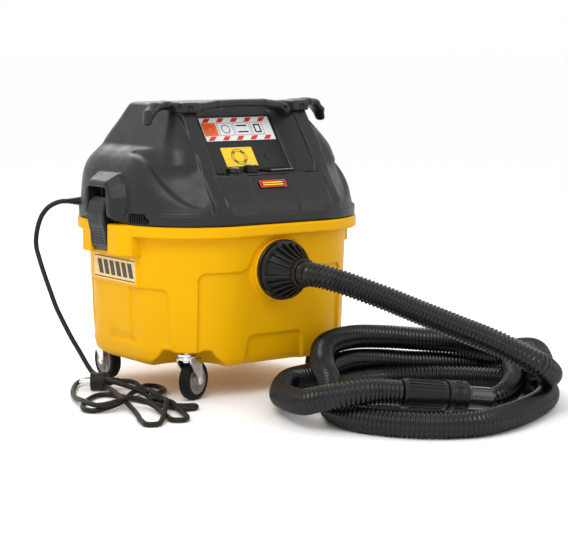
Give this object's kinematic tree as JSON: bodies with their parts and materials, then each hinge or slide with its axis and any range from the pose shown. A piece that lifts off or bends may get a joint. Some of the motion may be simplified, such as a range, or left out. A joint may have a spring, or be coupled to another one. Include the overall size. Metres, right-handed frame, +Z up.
{
  "type": "shop vacuum",
  "caption": "Box-shaped wet and dry vacuum on swivelling casters with a lift-off motor head, side latches, corrugated suction hose and power lead.",
  "frame": {"origin": "on the floor under the middle of the machine, hose and power lead left out", "axes": "+X to the right side seen from the front, -Y to the front with the hose inlet and the console, +Z up"},
  "size_m": [0.7789, 0.8612, 0.5075],
  "materials": {
    "yellow_shell": "satin moulded",
    "black_shell": "fine textured satin",
    "black_trim": "satin moulded",
    "gloss_black": "glossy",
    "badge_print": "printed film",
    "corrugated_hose": "semi-gloss corrugated",
    "lead_rubber": "matte",
    "zinc": "bright zinc",
    "steel": "laminated",
    "impeller_alloy": "machined",
    "grey_plastic": "moulded",
    "tyre_rubber": "matte",
    "filter_paper": "pleated",
    "foam": "open-cell",
    "circuit": "coated",
    "float_plastic": "moulded"
  },
  "bodies": {
    "tank_unit": {"tank": "yellow_shell", "tank_rim": "yellow_shell", "port_panel": "yellow_shell", "side_badge": "badge_print", "inlet_ring": "black_trim", "inlet_deflector": "black_shell", "latch_pins": "zinc", "caster_mounts": "zinc", "hose": "corrugated_hose", "tool_cuff": "black_trim", "nozzle": "gloss_black", "power_lead": "lead_rubber", "lead_hank": "lead_rubber", "plug": "black_trim", "plug_pins": "zinc"},
    "head_unit": {"head_base": "black_shell", "head_gasket": "lead_rubber", "head_cover": "black_shell", "head_dome": "black_shell", "latch_pods": "black_shell", "console_frame": "black_shell", "console": "black_shell", "handle": "black_shell", "screws": "zinc", "motor_housing": "grey_plastic", "motor_stator": "steel", "motor_bearings": "steel", "motor_foam": "foam", "filter_media": "filter_paper", "filter_caps": "lead_rubber", "circuit_board": "circuit", "switch_bodies": "grey_plastic", "outlet_socket": "grey_plastic", "strain_relief": "lead_rubber", "labels": "badge_print", "vent_grille": "black_shell", "float_cage": "black_shell"},
    "rotor_unit": {"rotor": "steel", "impeller": "impeller_alloy"},
    "float_unit": {"float_ball": "float_plastic"},
    "mode_knob": {"mode_knob": "black_trim"},
    "airflow_knob": {"airflow_knob": "black_trim"},
    "outlet_flap": {"outlet_flap": "black_trim"},
    "latch_left": {"latch_left": "black_shell"},
    "latch_right": {"latch_right": "black_shell"},
    "hose_connector": {"hose_connector": "black_trim", "connector_spigot": "black_trim"},
    "lock_collar": {"lock_collar": "black_trim"},
    "caster_fl": {"fork_fl": "zinc"},
    "wheel_fl": {"hub_fl": "grey_plastic", "tyre_fl": "tyre_rubber"},
    "caster_fr": {"fork_fr": "zinc"},
    "wheel_fr": {"hub_fr": "grey_plastic", "tyre_fr": "tyre_rubber"},
    "caster_rl": {"fork_rl": "zinc"},
    "wheel_rl": {"hub_rl": "grey_plastic", "tyre_rl": "tyre_rubber"},
    "caster_rr": {"fork_rr": "zinc"},
    "wheel_rr": {"hub_rr": "grey_plastic", "tyre_rr": "tyre_rubber"}
  },
  "joints": [
    {"name": "head_lift", "type": "slide", "parent": "tank_unit", "child": "head_unit", "axis": [0, 0, 1], "range_m": [0, 0.3]},
    {"name": "latch_left_swing", "type": "hinge", "parent": "tank_unit", "child": "latch_left", "pos_m": [-0.226, 0, 0.256], "axis": [0, -1, 0], "range_deg": [0, 60]},
    {"name": "latch_right_swing", "type": "hinge", "parent": "tank_unit", "child": "latch_right", "pos_m": [0.226, 0, 0.256], "axis": [0, 1, 0], "range_deg": [0, 60]},
    {"name": "rotor_spin", "type": "hinge", "parent": "head_unit", "child": "rotor_unit", "pos_m": [0, 0.025, 0.38], "axis": [0, 0, 1], "continuous": true},
    {"name": "float_rise", "type": "slide", "parent": "head_unit", "child": "float_unit", "axis": [0, 0, 1], "range_m": [0, 0.03]},
    {"name": "mode_knob_turn", "type": "hinge", "parent": "head_unit", "child": "mode_knob", "pos_m": [-0.056, -0.137, 0.388], "axis": [0, 0, 1], "range_deg": [-90, 90]},
    {"name": "airflow_knob_turn", "type": "hinge", "parent": "head_unit", "child": "airflow_knob", "pos_m": [-0.022, -0.137, 0.39], "axis": [0, 0, 1], "range_deg": [-135, 135]},
    {"name": "outlet_flap_open", "type": "hinge", "parent": "head_unit", "child": "outlet_flap", "pos_m": [0.033, -0.1195, 0.386], "axis": [-1, 0, 0], "range_deg": [0, 90], "stiffness_Nm_per_rad": 0.01, "springref_deg": -34.38},
    {"name": "connector_twist", "type": "hinge", "parent": "tank_unit", "child": "hose_connector", "pos_m": [0, -0.21, 0.22], "axis": [0, -1, 0], "range_deg": [0, 30]},
    {"name": "collar_twist", "type": "hinge", "parent": "tank_unit", "child": "lock_collar", "pos_m": [0.07255, -0.56878, 0.05049], "axis": [0.9182, -0.3822, -0.1045], "range_deg": [0, 40]},
    {"name": "caster_fl_swivel", "type": "hinge", "parent": "tank_unit", "child": "caster_fl", "pos_m": [-0.158, -0.143, 0.074], "axis": [0, 0, 1], "continuous": true},
    {"name": "wheel_fl_spin", "type": "hinge", "parent": "caster_fl", "child": "wheel_fl", "pos_m": [-0.13973, -0.13487, 0.034], "axis": [-0.4067, 0.9135, 0], "continuous": true},
    {"name": "caster_fr_swivel", "type": "hinge", "parent": "tank_unit", "child": "caster_fr", "pos_m": [0.158, -0.143, 0.074], "axis": [0, 0, 1], "continuous": true},
    {"name": "wheel_fr_spin", "type": "hinge", "parent": "caster_fr", "child": "wheel_fr", "pos_m": [0.14068, -0.133, 0.034], "axis": [-0.5, -0.866, 0], "continuous": true},
    {"name": "caster_rl_swivel", "type": "hinge", "parent": "tank_unit", "child": "caster_rl", "pos_m": [-0.158, 0.143, 0.074], "axis": [0, 0, 1], "continuous": true},
    {"name": "wheel_rl_spin", "type": "hinge", "parent": "caster_rl", "child": "wheel_rl", "pos_m": [-0.158, 0.123, 0.034], "axis": [1, 0, 0], "continuous": true},
    {"name": "caster_rr_swivel", "type": "hinge", "parent": "tank_unit", "child": "caster_rr", "pos_m": [0.158, 0.143, 0.074], "axis": [0, 0, 1], "continuous": true},
    {"name": "wheel_rr_spin", "type": "hinge", "parent": "caster_rr", "child": "wheel_rr", "pos_m": [0.13921, 0.13616, 0.034], "axis": [0.342, -0.9397, 0], "continuous": true}
  ]
}
